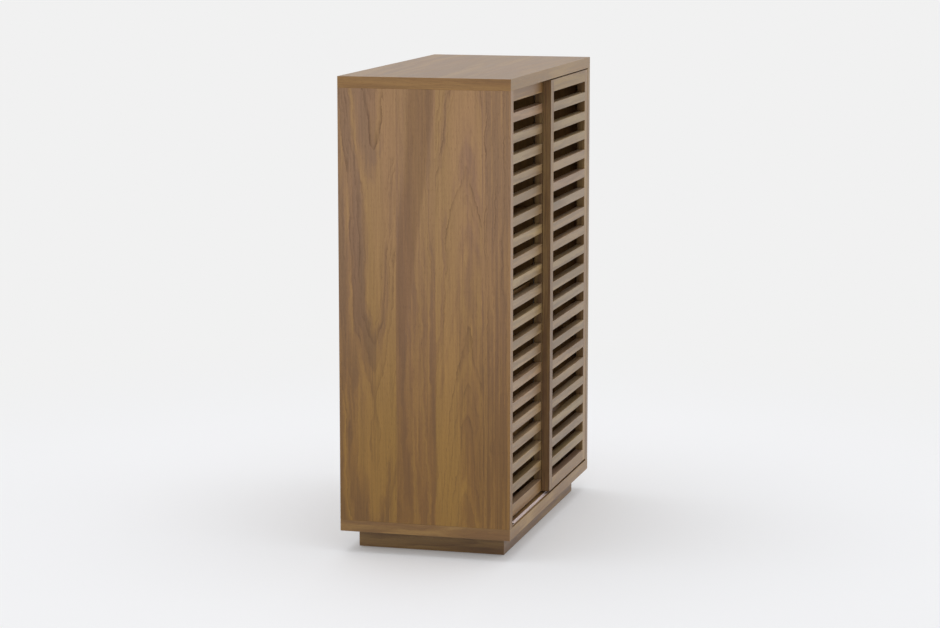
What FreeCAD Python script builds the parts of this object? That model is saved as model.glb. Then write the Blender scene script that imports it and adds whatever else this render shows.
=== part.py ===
import FreeCAD, Part
import os

# Free-standing sideboard with two sliding slatted doors, in millimetres.
# +X runs to the right, +Y to the back, +Z up, and the origin is on the floor under the middle.

Vector = FreeCAD.Vector
os.makedirs("parts", exist_ok=True)

# Whole cabinet
overall_width = 800.0
overall_depth = 400.0
overall_height = 1090.0
arris = 0.4
cut_overrun = 1.0

# Carcase boards
top_thickness = 26.0
bottom_thickness = 26.0
end_thickness = 24.0
divider_thickness = 18.0
divider_door_clearance = 3.5
back_thickness = 6.0
back_inset = 12.0
back_groove_depth = 8.0
back_groove_slack = 0.3

# Shelves and their holes, with the shelf heights as shares of the inner height.
# In each compartment the middle shelf is fixed in grooves, and the other two rest on pins.
shelf_thickness = 18.0
shelf_groove_depth = 6.0
shelf_groove_slack = 0.3
shelf_setback = 8.0
shelf_side_gap = 1.0
shelf_back_gap = 2.0
hole_pitch = 25.4
left_first_hole_rise = 55.4
right_first_hole_rise = 37.2
left_shelf_shares = (0.162, 0.496, 0.676)
right_shelf_shares = (0.141, 0.321, 0.655)
hole_row_inset = 38.0

# Shelf pins
pin_radius = 2.5
pin_hole_slack = 0.1
pin_stem_length = 8.5
pin_hole_depth = 9.0
pin_seat_length = 8.0
pin_seat_width = 7.0
pin_seat_thickness = 4.0
pin_seat_rise = 2.6

# Glued tongues that join the uprights to the top and the bottom
tongue_thickness = 6.0
tongue_width = 20.0
tongue_edge_slack = 0.5
tongue_inset = 30.0

# Plinth
plinth_height = 50.0
plinth_thickness = 18.0
plinth_side_inset = 56.0
plinth_front_inset = 28.0
plinth_back_inset = 28.0
corner_block_leg = 42.0
corner_block_height = 40.0
glide_height = 3.0
glide_length = 40.0
glide_width = 12.0
glide_corner_inset = 18.0

# Tracks
track_width = 9.0
track_wall = 1.2
lower_track_height = 4.0
upper_track_height = 11.0
track_stop_height = 2.4
roller_stop_gap = 0.3

# Doors
door_thickness = 19.0
door_front_setback = 0.5
door_lane_gap = 1.2
door_side_gap = 0.6
door_top_gap = 3.0
door_bottom_gap = 5.0
stile_width = 28.0
rail_height = 28.0
rail_tenon_length = 14.0
rail_tenon_thickness = 8.0
rail_tenon_shoulder = 5.0
tenon_end_slack = 0.5
slat_count = 19
slat_height = 21.0
slat_depth = 12.0
slat_tenon_length = 6.0
slat_tenon_shoulder = 2.5

# Door rollers and top guides
roller_radius = 9.0
roller_width = 5.0
roller_track_gap = 0.3
roller_inset = 52.0
axle_radius = 1.5
axle_slack = 0.06
housing_width = 12.0
housing_length = 38.0
housing_drop = 3.0
housing_slot_gap = 0.6
housing_roof = 3.0
guide_length = 22.0
guide_width = 11.0
guide_depth = 11.0
guide_pin_gap = 0.3
guide_engagement = 6.0
guide_inset = 52.0

# Places worked out from the sizes above
left_side = -overall_width / 2
right_side = overall_width / 2
front_side = -overall_depth / 2
back_side = overall_depth / 2
floor_top = plinth_height + bottom_thickness
ceiling = overall_height - top_thickness
inner_left = left_side + end_thickness
inner_right = right_side - end_thickness
inner_height = ceiling - floor_top
back_rear = back_side - back_inset
back_front = back_rear - back_thickness

front_lane = front_side + door_front_setback
rear_lane = front_lane + door_thickness + door_lane_gap
divider_front = rear_lane + door_thickness + divider_door_clearance
divider_left = -divider_thickness / 2
divider_right = divider_thickness / 2
shelf_front = divider_front + shelf_setback
shelf_back = back_front - shelf_back_gap
hole_rows = (shelf_front + hole_row_inset, shelf_back - hole_row_inset)

door_low = floor_top + door_bottom_gap
door_high = ceiling - door_top_gap
door_overlap = stile_width
door_width = (inner_right - inner_left - 2 * door_side_gap + door_overlap) / 2
left_door_x = inner_left + door_side_gap
right_door_x = inner_right - door_side_gap - door_width
slat_gap = (door_high - door_low - 2 * rail_height - slat_count * slat_height) / (slat_count + 1)

track_inner = track_width - 2 * track_wall
roller_axis_z = floor_top - lower_track_height + track_wall + roller_track_gap + roller_radius
tongue_back = back_front - tongue_inset


def block(x0, x1, y0, y1, z0, z1):
    """A plain rectangular solid between two corners."""
    return Part.makeBox(x1 - x0, y1 - y0, z1 - z0, Vector(x0, y0, z0))


def board(x0, x1, y0, y1, z0, z1):
    """A board whose edges are all eased by the arris."""
    solid = block(x0, x1, y0, y1, z0, z1)
    return solid.makeChamfer(arris, solid.Edges)


def bar(x0, x1, y0, y1, z0, z1):
    """A bar along the width whose four long edges are eased by the arris, and whose ends stay square."""
    solid = block(x0, x1, y0, y1, z0, z1)
    long_edges = [edge for edge in solid.Edges if edge.BoundBox.XLength > arris]
    return solid.makeChamfer(arris, long_edges)


def rod(centre, direction, radius, length):
    """A cylinder that starts at a point and runs along a direction."""
    return Part.makeCylinder(radius, length, centre, direction)


def prism(points, z0, z1):
    """An upright prism over a plan outline of (x, y) points."""
    outline = [Vector(x, y, z0) for x, y in points]
    return Part.Face(Part.makePolygon(outline + [outline[0]])).extrude(Vector(0, 0, z1 - z0))


def save(name, solids):
    """Writes one node, as a single solid or as a group of separate solids."""
    shape = solids[0] if len(solids) == 1 else Part.makeCompound(solids)
    shape.exportStep(os.path.join("parts", name + ".step"))
    print(name, len(solids), "solids, volume", round(sum(s.Volume for s in solids)))


# Places that several pieces share


def shelf_undersides(first_rise, shares):
    """Heights of the shelf undersides, each on the hole nearest to its share of the inner height."""
    first = first_rise + pin_seat_rise
    steps = [round((share * inner_height - first) / hole_pitch) for share in shares]
    return [floor_top + first + step * hole_pitch for step in steps]


left_lower, left_middle, left_upper = shelf_undersides(left_first_hole_rise, left_shelf_shares)
right_lower, right_middle, right_upper = shelf_undersides(right_first_hole_rise, right_shelf_shares)
left_loose = (left_lower, left_upper)
right_loose = (right_lower, right_upper)


def shelf_groove(underside, x, direction):
    """The groove for one end of a fixed shelf. direction is +1 into a board on the right."""
    x0, x1 = sorted((x - direction * cut_overrun, x + direction * shelf_groove_depth))
    return block(x0, x1, shelf_front, back_front, underside, underside + shelf_thickness)


def pin_holes(undersides, x, direction):
    """Holes for the pins of the loose shelves in one upright face. direction is as for shelf_groove."""
    radius = pin_radius + pin_hole_slack
    start = x - direction * cut_overrun
    depth = pin_hole_depth + cut_overrun
    places = [Vector(start, y, underside - pin_seat_rise) for underside in undersides for y in hole_rows]
    return [rod(place, Vector(direction, 0, 0), radius, depth) for place in places]


def tongue(x, front, joint, slack):
    """One tongue along a joint, half in either board, or with slack above zero the groove for it."""
    half = tongue_width / 2 + slack
    side = tongue_thickness / 2
    return block(x - side, x + side, front - slack, tongue_back + slack, joint - half, joint + half)


def tongues(slack):
    """The tongues of both end panels and of the divider, at the bottom and at the top."""
    ends = (left_side + end_thickness / 2, right_side - end_thickness / 2)
    places = [(x, front_side + tongue_inset) for x in ends] + [(0, divider_front + tongue_inset)]
    return [tongue(x, front, joint, slack) for x, front in places for joint in (floor_top, ceiling)]


# Carcase


def cross_groove(y, z0, z1):
    """A groove along the width for a track, between the two end panels."""
    return block(inner_left, inner_right, y - track_width / 2, y + track_width / 2, z0, z1)


def lane_centres():
    """y of the middle of the front lane and of the rear lane."""
    return (front_lane + door_thickness / 2, rear_lane + door_thickness / 2)


def top_panel():
    solid = board(left_side, right_side, front_side, back_side, ceiling, overall_height)
    z0 = ceiling - cut_overrun
    grooves = [cross_groove(y, z0, ceiling + upper_track_height) for y in lane_centres()]
    reach = back_groove_depth
    back = block(inner_left - reach, inner_right + reach, back_front, back_rear, z0, ceiling + reach)
    return solid.cut(grooves + [back] + tongues(tongue_edge_slack))


def bottom_panel():
    solid = board(left_side, right_side, front_side, back_side, plinth_height, floor_top)
    z1 = floor_top + cut_overrun
    grooves = [cross_groove(y, floor_top - lower_track_height, z1) for y in lane_centres()]
    reach = back_groove_depth
    back = block(inner_left - reach, inner_right + reach, back_front, back_rear, floor_top - reach, z1)
    return solid.cut(grooves + [back] + tongues(tongue_edge_slack))


def end_panel(outer, inner, inward, loose, fixed):
    """One end panel. inward is +1 for the left one, and loose and fixed are shelf undersides."""
    solid = board(min(outer, inner), max(outer, inner), front_side, back_side, floor_top, ceiling)
    groove_x = sorted((inner - inward * back_groove_depth, inner + inward * cut_overrun))
    low = floor_top - cut_overrun
    high = ceiling + cut_overrun
    cuts = [block(groove_x[0], groove_x[1], back_front, back_rear, low, high)]
    cuts += [shelf_groove(fixed, inner, -inward)] + pin_holes(loose, inner, -inward)
    return solid.cut(cuts + tongues(tongue_edge_slack))


def centre_divider():
    solid = board(divider_left, divider_right, divider_front, back_front, floor_top, ceiling)
    cuts = pin_holes(left_loose, divider_left, 1) + pin_holes(right_loose, divider_right, -1)
    cuts += [shelf_groove(left_middle, divider_left, 1), shelf_groove(right_middle, divider_right, -1)]
    return solid.cut(cuts + tongues(tongue_edge_slack))


def back_panel():
    reach = back_groove_depth - back_groove_slack
    x0 = inner_left - reach
    x1 = inner_right + reach
    return block(x0, x1, back_front, back_rear, floor_top - reach, ceiling + reach)


def shelf(x0, x1, underside, side_gap):
    """One shelf between two upright faces. A side_gap below zero takes its ends into their grooves."""
    left = x0 + side_gap
    right = x1 - side_gap
    return board(left, right, shelf_front, shelf_back, underside, underside + shelf_thickness)


def shelf_pin(x, y, underside, inward):
    """A pin with a round stem in its hole and a flat seat that the shelf lies on."""
    stem_start = Vector(x - inward * pin_stem_length, y, underside - pin_seat_rise)
    stem = rod(stem_start, Vector(inward, 0, 0), pin_radius, pin_stem_length)
    near, far = sorted((x, x + inward * pin_seat_length))
    half = pin_seat_width / 2
    return block(near, far, y - half, y + half, underside - pin_seat_thickness, underside).fuse(stem)


def shelf_pins(undersides, x0, x1):
    """Four pins under each loose shelf of one compartment."""
    sides = ((x0, 1), (x1, -1))
    return [shelf_pin(x, y, z, inward) for z in undersides for x, inward in sides for y in hole_rows]


# Plinth


def plinth_outline():
    """Outer and inner corners of the plinth in plan, as (x, y), counterclockwise from the front left."""
    x0 = left_side + plinth_side_inset
    x1 = right_side - plinth_side_inset
    y0 = front_side + plinth_front_inset
    y1 = back_side - plinth_back_inset
    t = plinth_thickness
    outer = [(x0, y0), (x1, y0), (x1, y1), (x0, y1)]
    inner = [(x0 + t, y0 + t), (x1 - t, y0 + t), (x1 - t, y1 - t), (x0 + t, y1 - t)]
    return outer, inner


def plinth_rail(index):
    """One mitred rail of the plinth frame, from corner index to the next one."""
    outer, inner = plinth_outline()
    after = (index + 1) % len(outer)
    corners = [outer[index], outer[after], inner[after], inner[index]]
    return prism(corners, glide_height, plinth_height)


def plinth_cross_rail():
    outer, inner = plinth_outline()
    half = plinth_thickness / 2
    return block(-half, half, inner[0][1], inner[2][1], glide_height, plinth_height)


def plinth_corner_blocks():
    """A three-sided glue block in each inner corner of the plinth, under the bottom panel."""
    outer, inner = plinth_outline()
    blocks = []
    for (x, y), (sx, sy) in zip(inner, ((1, 1), (-1, 1), (-1, -1), (1, -1))):
        plan = [(x, y), (x + sx * corner_block_leg, y), (x, y + sy * corner_block_leg)]
        blocks.append(prism(plan, plinth_height - corner_block_height, plinth_height))
    return blocks


def floor_glides():
    """Glides under the front and back rails: one near each corner and one in the middle."""
    outer, inner = plinth_outline()
    first = outer[0][0] + glide_corner_inset
    starts = (first, -glide_length / 2, -first - glide_length)
    margin = (plinth_thickness - glide_width) / 2
    fronts = (outer[0][1] + margin, inner[2][1] + margin)
    return [block(x, x + glide_length, y, y + glide_width, 0, glide_height) for y in fronts for x in starts]


# Tracks


def channel(y, z_web, z_open):
    """A U-shaped track along the width. z_web is its closed side and z_open its open side."""
    up = 1 if z_open > z_web else -1
    z0, z1 = sorted((z_web, z_open))
    outside = block(inner_left, inner_right, y - track_width / 2, y + track_width / 2, z0, z1)
    s0, s1 = sorted((z_web + up * track_wall, z_open + up * cut_overrun))
    half = track_inner / 2
    x0 = inner_left - cut_overrun
    x1 = inner_right + cut_overrun
    return outside.cut(block(x0, x1, y - half, y + half, s0, s1))


def track_stops():
    """A rubber stop in each end of both lower tracks, as long as brings the end rollers to rest."""
    z0 = floor_top - lower_track_height + track_wall
    below_axis = roller_axis_z - z0 - track_stop_height
    roller_reach = (roller_radius ** 2 - below_axis ** 2) ** 0.5
    length = door_side_gap + roller_inset - roller_reach - roller_stop_gap
    half = track_inner / 2
    stops = []
    for y in lane_centres():
        for x0, x1 in ((inner_left, inner_left + length), (inner_right - length, inner_right)):
            stops.append(block(x0, x1, y - half, y + half, z0, z0 + track_stop_height))
    return stops


# Doors


def slat_levels():
    """Height of the underside of every slat, from the lowest up."""
    first = door_low + rail_height + slat_gap
    return [first + i * (slat_height + slat_gap) for i in range(slat_count)]


def slat_tenon(x0, x1, front, low):
    """The tongue of a slat, or the mortise that takes it, between two places along the width."""
    s = slat_tenon_shoulder
    return block(x0, x1, front + s, front + slat_depth - s, low + s, low + slat_height - s)


def rail_tenon(x0, x1, front, low):
    """The tongue of a rail, or the mortise that takes it, between two places along the width."""
    y0 = front + (door_thickness - rail_tenon_thickness) / 2
    z0 = low + rail_tenon_shoulder
    z1 = low + rail_height - rail_tenon_shoulder
    return block(x0, x1, y0, y0 + rail_tenon_thickness, z0, z1)


def rail_levels():
    """Height of the underside of the bottom rail and of the top rail."""
    return (door_low, door_high - rail_height)


def stile(x0, front, inner_side):
    """One upright of a door frame. inner_side is +1 when the slats are on its right."""
    x1 = x0 + stile_width
    solid = board(x0, x1, front, front + door_thickness, door_low, door_high)
    face = x1 if inner_side > 0 else x0
    outside = face + inner_side * cut_overrun
    slat_span = sorted((face - inner_side * slat_tenon_length, outside))
    rail_span = sorted((face - inner_side * (rail_tenon_length + tenon_end_slack), outside))
    cuts = [slat_tenon(*slat_span, front, low) for low in slat_levels()]
    cuts += [rail_tenon(*rail_span, front, low) for low in rail_levels()]
    return solid.cut(cuts)


def rail(x0, front, low):
    """A top or bottom rail between the stiles, with a tongue at each end."""
    left = x0 + stile_width
    right = x0 + door_width - stile_width
    body = bar(left, right, front, front + door_thickness, low, low + rail_height)
    tongue = rail_tenon(left - rail_tenon_length, right + rail_tenon_length, front, low)
    return body.fuse(tongue)


def roller_centres(x0):
    """x of the two rollers of a door that starts at x0."""
    return (x0 + roller_inset, x0 + door_width - roller_inset)


def guide_centres(x0):
    """x of the two top guides of a door that starts at x0."""
    return (x0 + guide_inset, x0 + door_width - guide_inset)


def housing_space(x, front):
    """The mortise for one roller housing in the bottom rail."""
    y = front + door_thickness / 2
    x0 = x - housing_length / 2
    y0 = y - housing_width / 2
    top = roller_axis_z + roller_radius + housing_slot_gap + housing_roof
    return block(x0, x0 + housing_length, y0, y0 + housing_width, door_low - housing_drop, top)


def bottom_rail(x0, front):
    spaces = [housing_space(x, front) for x in roller_centres(x0)]
    return rail(x0, front, door_low).cut(spaces)


def guide_space(x, front):
    """The mortise for one top guide in the top rail."""
    y = front + door_thickness / 2
    x0 = x - guide_length / 2
    y0 = y - guide_width / 2
    return block(x0, x0 + guide_length, y0, y0 + guide_width, door_high - guide_depth, door_high)


def top_rail(x0, front):
    spaces = [guide_space(x, front) for x in guide_centres(x0)]
    return rail(x0, front, door_high - rail_height).cut(spaces)


def slats(x0, front):
    """All the slats of one door, flush with the front of its frame."""
    left = x0 + stile_width
    right = x0 + door_width - stile_width
    solids = []
    for low in slat_levels():
        body = bar(left, right, front, front + slat_depth, low, low + slat_height)
        tongue = slat_tenon(left - slat_tenon_length, right + slat_tenon_length, front, low)
        solids.append(body.fuse(tongue))
    return solids


def roller_housing(x, front):
    """A moulded housing in the bottom edge of the door, slotted for its roller and notched for the axle."""
    y = front + door_thickness / 2
    reach = roller_radius + housing_slot_gap
    half = roller_width / 2 + housing_slot_gap
    low = door_low - housing_drop - cut_overrun
    slot = block(x - reach, x + reach, y - half, y + half, low, roller_axis_z + reach)
    side = axle_radius + axle_slack
    across = housing_width / 2 + cut_overrun
    notch = block(x - side, x + side, y - across, y + across, low, roller_axis_z + side)
    return housing_space(x, front).cut([slot, notch])


def roller_axle(x, front):
    y0 = front + (door_thickness - housing_width) / 2
    return rod(Vector(x, y0, roller_axis_z), Vector(0, 1, 0), axle_radius, housing_width)


def roller(x, front):
    """A nylon wheel that turns about its axle."""
    start = Vector(x, front + (door_thickness - roller_width) / 2, roller_axis_z)
    along = Vector(0, 1, 0)
    bore = rod(start, along, axle_radius + axle_slack, roller_width)
    return rod(start, along, roller_radius, roller_width).cut(bore)


def top_guide(x, front):
    """A nylon guide let into the top edge, with a round pin that runs in the upper track."""
    y = front + door_thickness / 2
    radius = track_inner / 2 - guide_pin_gap
    pin = rod(Vector(x, y, door_high), Vector(0, 0, 1), radius, door_top_gap + guide_engagement)
    return guide_space(x, front).fuse(pin)


def save_door(side, x0, front):
    """Writes every node of one door. side is left or right, x0 its left edge at rest."""
    save(side + "_door_left_stile", [stile(x0, front, 1)])
    save(side + "_door_right_stile", [stile(x0 + door_width - stile_width, front, -1)])
    save(side + "_door_top_rail", [top_rail(x0, front)])
    save(side + "_door_bottom_rail", [bottom_rail(x0, front)])
    save(side + "_door_slats", slats(x0, front))
    centres = roller_centres(x0)
    save(side + "_door_roller_housings", [roller_housing(x, front) for x in centres])
    save(side + "_door_roller_axles", [roller_axle(x, front) for x in centres])
    save(side + "_door_left_roller", [roller(centres[0], front)])
    save(side + "_door_right_roller", [roller(centres[1], front)])
    save(side + "_door_top_guides", [top_guide(x, front) for x in guide_centres(x0)])


def save_shelves(side, x0, x1, loose, fixed):
    """Writes the shelves and the shelf pins of one compartment, from the undersides of its shelves."""
    for name, underside in zip(("lower", "upper"), loose):
        save(side + "_" + name + "_shelf", [shelf(x0, x1, underside, shelf_side_gap)])
    save(side + "_middle_shelf", [shelf(x0, x1, fixed, shelf_groove_slack - shelf_groove_depth)])
    save(side + "_shelf_pins", shelf_pins(loose, x0, x1))


save("top_panel", [top_panel()])
save("bottom_panel", [bottom_panel()])
save("left_end_panel", [end_panel(left_side, inner_left, 1, left_loose, left_middle)])
save("right_end_panel", [end_panel(right_side, inner_right, -1, right_loose, right_middle)])
save("centre_divider", [centre_divider()])
save("back_panel", [back_panel()])
save_shelves("left", inner_left, divider_left, left_loose, left_middle)
save_shelves("right", divider_right, inner_right, right_loose, right_middle)
save("joint_tongues", tongues(0))
for index, name in enumerate(("front", "right", "back", "left")):
    save("plinth_" + name + "_rail", [plinth_rail(index)])
save("plinth_cross_rail", [plinth_cross_rail()])
save("plinth_corner_blocks", plinth_corner_blocks())
save("floor_glides", floor_glides())
for name, lane in zip(("front", "rear"), lane_centres()):
    save(name + "_lower_track", [channel(lane, floor_top - lower_track_height, floor_top)])
    save(name + "_upper_track", [channel(lane, ceiling + upper_track_height, ceiling)])
save("track_stops", track_stops())
save_door("left", left_door_x, rear_lane)
save_door("right", right_door_x, front_lane)
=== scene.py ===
import math

import bpy
import numpy as np
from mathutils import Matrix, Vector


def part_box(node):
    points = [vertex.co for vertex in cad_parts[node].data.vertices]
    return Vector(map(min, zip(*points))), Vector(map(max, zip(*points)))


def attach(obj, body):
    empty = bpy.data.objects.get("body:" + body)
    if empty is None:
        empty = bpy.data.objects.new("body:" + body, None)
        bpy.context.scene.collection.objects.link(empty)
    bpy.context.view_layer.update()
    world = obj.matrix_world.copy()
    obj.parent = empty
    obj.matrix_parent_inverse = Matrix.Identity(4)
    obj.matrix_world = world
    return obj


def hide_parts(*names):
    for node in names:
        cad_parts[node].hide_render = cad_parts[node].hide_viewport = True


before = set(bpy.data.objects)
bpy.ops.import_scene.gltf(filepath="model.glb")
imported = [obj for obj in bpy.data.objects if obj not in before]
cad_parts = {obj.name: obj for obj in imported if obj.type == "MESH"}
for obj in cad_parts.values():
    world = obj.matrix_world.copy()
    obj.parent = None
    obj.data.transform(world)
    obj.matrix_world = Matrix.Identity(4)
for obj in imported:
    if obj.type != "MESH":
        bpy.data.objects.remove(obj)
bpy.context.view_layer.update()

# Metres, in the frame of the solids: +X right, -Y front, +Z up, origin on the floor under the middle.
# A NOISE is its waves to the metre across, into and along the grain, then its detail and its roughness.
# A SPAN is the range that a value is carried from and, where it has four numbers, the range that it goes to.
# A TONE is a colour in sRGB steps from 0 to 255. A SHARE of a colour scales it, and one of three numbers
# scales its red, green and blue.

# Camera, as fitted to the seven corners that the photograph shows
CAMERA_PLACE = (-6.2212, -1.6673, 1.5214)
CAMERA_PITCH = 9.018
CAMERA_TURN = 15.004
CAMERA_LENS = 104.66
CAMERA_REACH = 200.0
SENSOR_WIDTH = 36.0

# Light
BACKGROUND = (241, 241, 241)
SKY_STRENGTH = 0.84
LIGHT_AIM = (0.0, 0.0, 0.6)
OVERHEAD_PLACE = (0.0, 0.2, 3.4)
OVERHEAD_SIZE = 3.0
OVERHEAD_POWER = 34.0
FRONT_PLACE = (1.0, -3.4, 3.2)
FRONT_SIZE = 2.4
FRONT_POWER = 6.0

# Floor: a grid of rings, shaded with a fifth of glow near the cabinet and of the background's light further
# out
FLOOR_RADIUS = 60.0
FLOOR_RINGS = 24
FLOOR_SIDES = 64
FLOOR_FIRST_RING = 0.02
FLOOR_TONE = (240, 241, 244)
FLOOR_NOISE = ((40.0, 40.0, 40.0), 3.0, 0.5)
FLOOR_ROUGHNESS = (0.75, 0.85)
FLOOR_GLOW_SPAN = (0.9, 2.6, 0.2, 1.0)

# Slats: how many a door has, their height, the tongues that the stiles take, and their eased edges
SLAT_COUNT = 19
SLAT_HEIGHT = 0.021
SLAT_TONGUE = 0.006
SLAT_SHOULDER = 0.0025
SLAT_ARRIS = 0.0007
ARRIS_STEPS = 5

# Screws: the head, with its shares of the head's radius, and how far from the ends of their pieces they stand
SCREW_RADIUS = 0.0023
BLOCK_SCREW_RADIUS = 0.0038
SCREW_CROWN_SHARE = 0.09
SCREW_RECESS_SHARE = 0.07
SCREW_BLADE_SHARE = 0.12
SCREW_REACH_SHARE = 0.68
SCREW_FADE_SHARE = 0.12
SCREW_DEPTH_SHARE = 0.2
SCREW_RINGS = 10
SCREW_SIDES = 32
TRACKS = ("front_lower_track", "rear_lower_track", "front_upper_track", "rear_upper_track")
TRACK_WEB = 0.0012
TRACK_SCREWS = 5
TRACK_SCREW_INSET = 0.03
HOUSING_LENGTH = 0.038
HOUSING_SCREW_INSET = 0.0047
BLOCK_SCREW_INSET = 0.013

# Tones of the wood, in the order of their names
TONE_NAMES = ("Dull", "Body", "Light", "Dark")
WALNUT = ((118, 85, 50), (135, 101, 57), (154, 120, 70), (96, 60, 28))
BIRCH = ((186, 158, 118), (200, 172, 132), (212, 186, 148), (160, 128, 88))

# Tints that multiply the colour of the wood, with alpha
PINKISH = (1.0, 0.97, 1.0, 1.0)
GOLDEN = (1.0, 0.99, 0.9, 1.0)

# Figure of the wood
FIGURE_NAMES = ("Line", "Band", "Tint", "Fibre", "Pore", "Drift")
ARCH_POWER = 1.5
RING_PITCH = 0.005
RING_WANDER = 0.007
SEED_STEP = (0.37, 0.61, 0.83)
SWAY_NOISE = ((11.0, 11.0, 3.0), 2.0, 0.5)
SWAY_GAIN = 3.4
SHAKE_NOISE = ((55.0, 55.0, 22.0), 4.0, 0.6)
SHAKE_GAIN = 1.9
SINK_NOISE = ((7.0, 8.0, 4.5), 1.0, 0.5)
SINK_GAIN = 2.6
LINE_PEAK = 0.9
LINE_RISE = 2.5
LINE_BREAK_NOISE = ((110.0, 110.0, 10.0), 2.0, 0.5)
LINE_BREAK_SPAN = (0.36, 0.6, 0.25, 1.0)
LINE_STRENGTH_SPAN = (0.3, 1.0, 0.05, 1.0)
BAND_RATE = 0.4
TINT_NOISE = ((17.0, 17.0, 1.3), 2.0, 0.5)
COARSE_FIBRE_NOISE = ((260.0, 260.0, 5.0), 3.0, 0.6)
FINE_FIBRE_NOISE = ((900.0, 900.0, 14.0), 2.0, 0.6)
COARSE_SHARE = 0.6
PORE_NOISE = ((1700.0, 1700.0, 75.0), 1.0, 0.5)
PORE_SPAN = (0.6, 0.7)
DRIFT_NOISE = ((24.0, 24.0, 2.4), 2.0, 0.5)
STREAK_NOISE = ((95.0, 95.0, 5.0), 2.0, 0.6)
STREAK_SHARE = 0.4

# Colour and lacquer of the wood
NOISE_SPAN = (0.36, 0.64)
DRIFT_SHARE = 0.72
DULL_SPAN = (0.43, 0.5)
LIGHT_SPAN = (0.5, 0.57)
FIBRE_SHADES = (0.87, 1.13)
PORE_DARKNESS = 0.4
EDGE_PALENESS = 0.45
WOOD_ROUGHNESS = (0.46, 0.54)
EDGE_ROUGHNESS = 0.06
FIBRE_HEIGHT = 0.4
LINE_HEIGHT = -0.3
LACQUER = 0.3
LACQUER_ROUGHNESS = 0.3
WOOD_GLOSS = 0.3
WOOD_BUMP = 0.12
WOOD_BUMP_DEPTH = 0.0002

# Worn edges: how wide, and how patchy
EDGE_WIDTH = 0.0016
EDGE_NOISE = ((45.0, 45.0, 45.0), 3.0, 0.5)
EDGE_SPAN = (0.35, 0.65, 0.3, 1.0)

# Leaves of veneer side by side: the heart's place in leaf widths, its depth and its taper
LEAF_HEARTS = (-0.2, 1.2)
LEAF_DEPTHS = (0.12, 0.2)
LEAF_TAPER = 0.03
LEAF_SEED_STEP = 9.0

# Left end: seams from the front, and each leaf's heart place, depth, taper and contrast with their ranges
END_SEAMS = (-0.135, -0.028, 0.065)
END_LEAVES = (
    (-0.42, 0.06, 0.0, 0.8),
    (-0.101, 0.1, 0.085, 0.8),
    (-0.16, 0.1, -0.05, 0.3),
    (0.119, 0.15, -0.05, 1.0),
)
HEART_RANGE = (-0.5, 0.5)
DEPTH_RANGE = (0.0, 0.5)
TAPER_RANGE = (-0.1, 0.1)
END_LEAF_MIDDLE = 0.55
END_SEED = 2.0
END_WANDER = 0.01

# Left end: each leaf's dull, body and light tones, the painted sheen on its upper part, and the calm of its
# lower part
END_TONES = (
    ((108, 74, 32), (122, 86, 36), (136, 99, 44)),
    ((117, 81, 34), (132, 95, 38), (147, 110, 45)),
    ((108, 74, 34), (124, 87, 38), (139, 102, 44)),
    ((107, 75, 34), (126, 90, 37), (144, 107, 43)),
)
END_DARK = (80, 49, 22)
END_PAINTED_SHEEN_TONE = (178, 145, 122)
END_PAINTED_SHEEN_SPAN = (0.1, 0.95)
END_PAINTED_SHEEN_SHARE = 0.37
END_CALM_SPAN = (0.15, 0.7)
END_CALM = 0.3
END_CALM_LINES = 0.5

# Left end: shift of tone at places from front to back, and stripes that are strong in the front leaf
END_SHIFTS = (
    (-0.2, 0.45), (-0.136, 0.5), (-0.134, 0.42), (-0.1, 0.5), (-0.03, 0.8), (-0.027, 0.5), (0.064, 0.55),
    (0.066, 0.85), (0.095, 0.62), (0.13, 0.5), (0.2, 0.3),
)
SHIFT_RANGE = (-0.2, 0.2)
STRIPE_NOISE = ((170.0, 170.0, 0.9), 2.0, 0.6)
FRONT_STRIPES = 0.7
OTHER_STRIPES = 0.1

# Left end: the pale streak that leans down its third leaf
PALE_STREAK_PLACE = 0.04
PALE_STREAK_LEAN = -0.095
PALE_STREAK_SWAY = 0.03
PALE_STREAK_NOISE = ((4.0, 4.0, 3.0), 2.0, 0.5)
PALE_STREAK_HALF_SPAN = (0.6, 1.0, 0.02, 0.031)
PALE_STREAK_FADE_SPAN = (0.7, 1.15, 1.0, 0.0)
PALE_STREAK_STRENGTH_SPAN = (0.2, 0.75, 0.3, 0.5)
PALE_STREAK_TONE = (118, 85, 55)

# Slats: dull, body and light tones of four planks, ranges of the hearts, and painted light and shade on the
# upper faces
SLAT_TONES = (
    ((134, 104, 72), (148, 118, 84), (160, 129, 94)),
    ((126, 102, 68), (140, 114, 79), (153, 128, 88)),
    ((130, 105, 66), (144, 118, 77), (156, 131, 87)),
    ((123, 101, 73), (137, 113, 84), (148, 125, 94)),
)
SLAT_TONE_STOPS = (0.0, 0.35, 0.65, 1.0)
SLAT_HEARTS = (-0.06, 0.3)
SLAT_DEPTHS = (0.23, 0.29)
SLAT_TAPER = 0.012
SLAT_SEED_STEP = 3.7
SLAT_MARGIN = 0.01
SLAT_CONTRAST = 0.7
SLAT_BUMP = 0.2
SLAT_TOP_PAINTED_SHEEN_TINT = (0.95, 1.0, 1.25)
SLAT_TOP_PAINTED_LIGHT_FADE = (1.45, 0.7)

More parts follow.
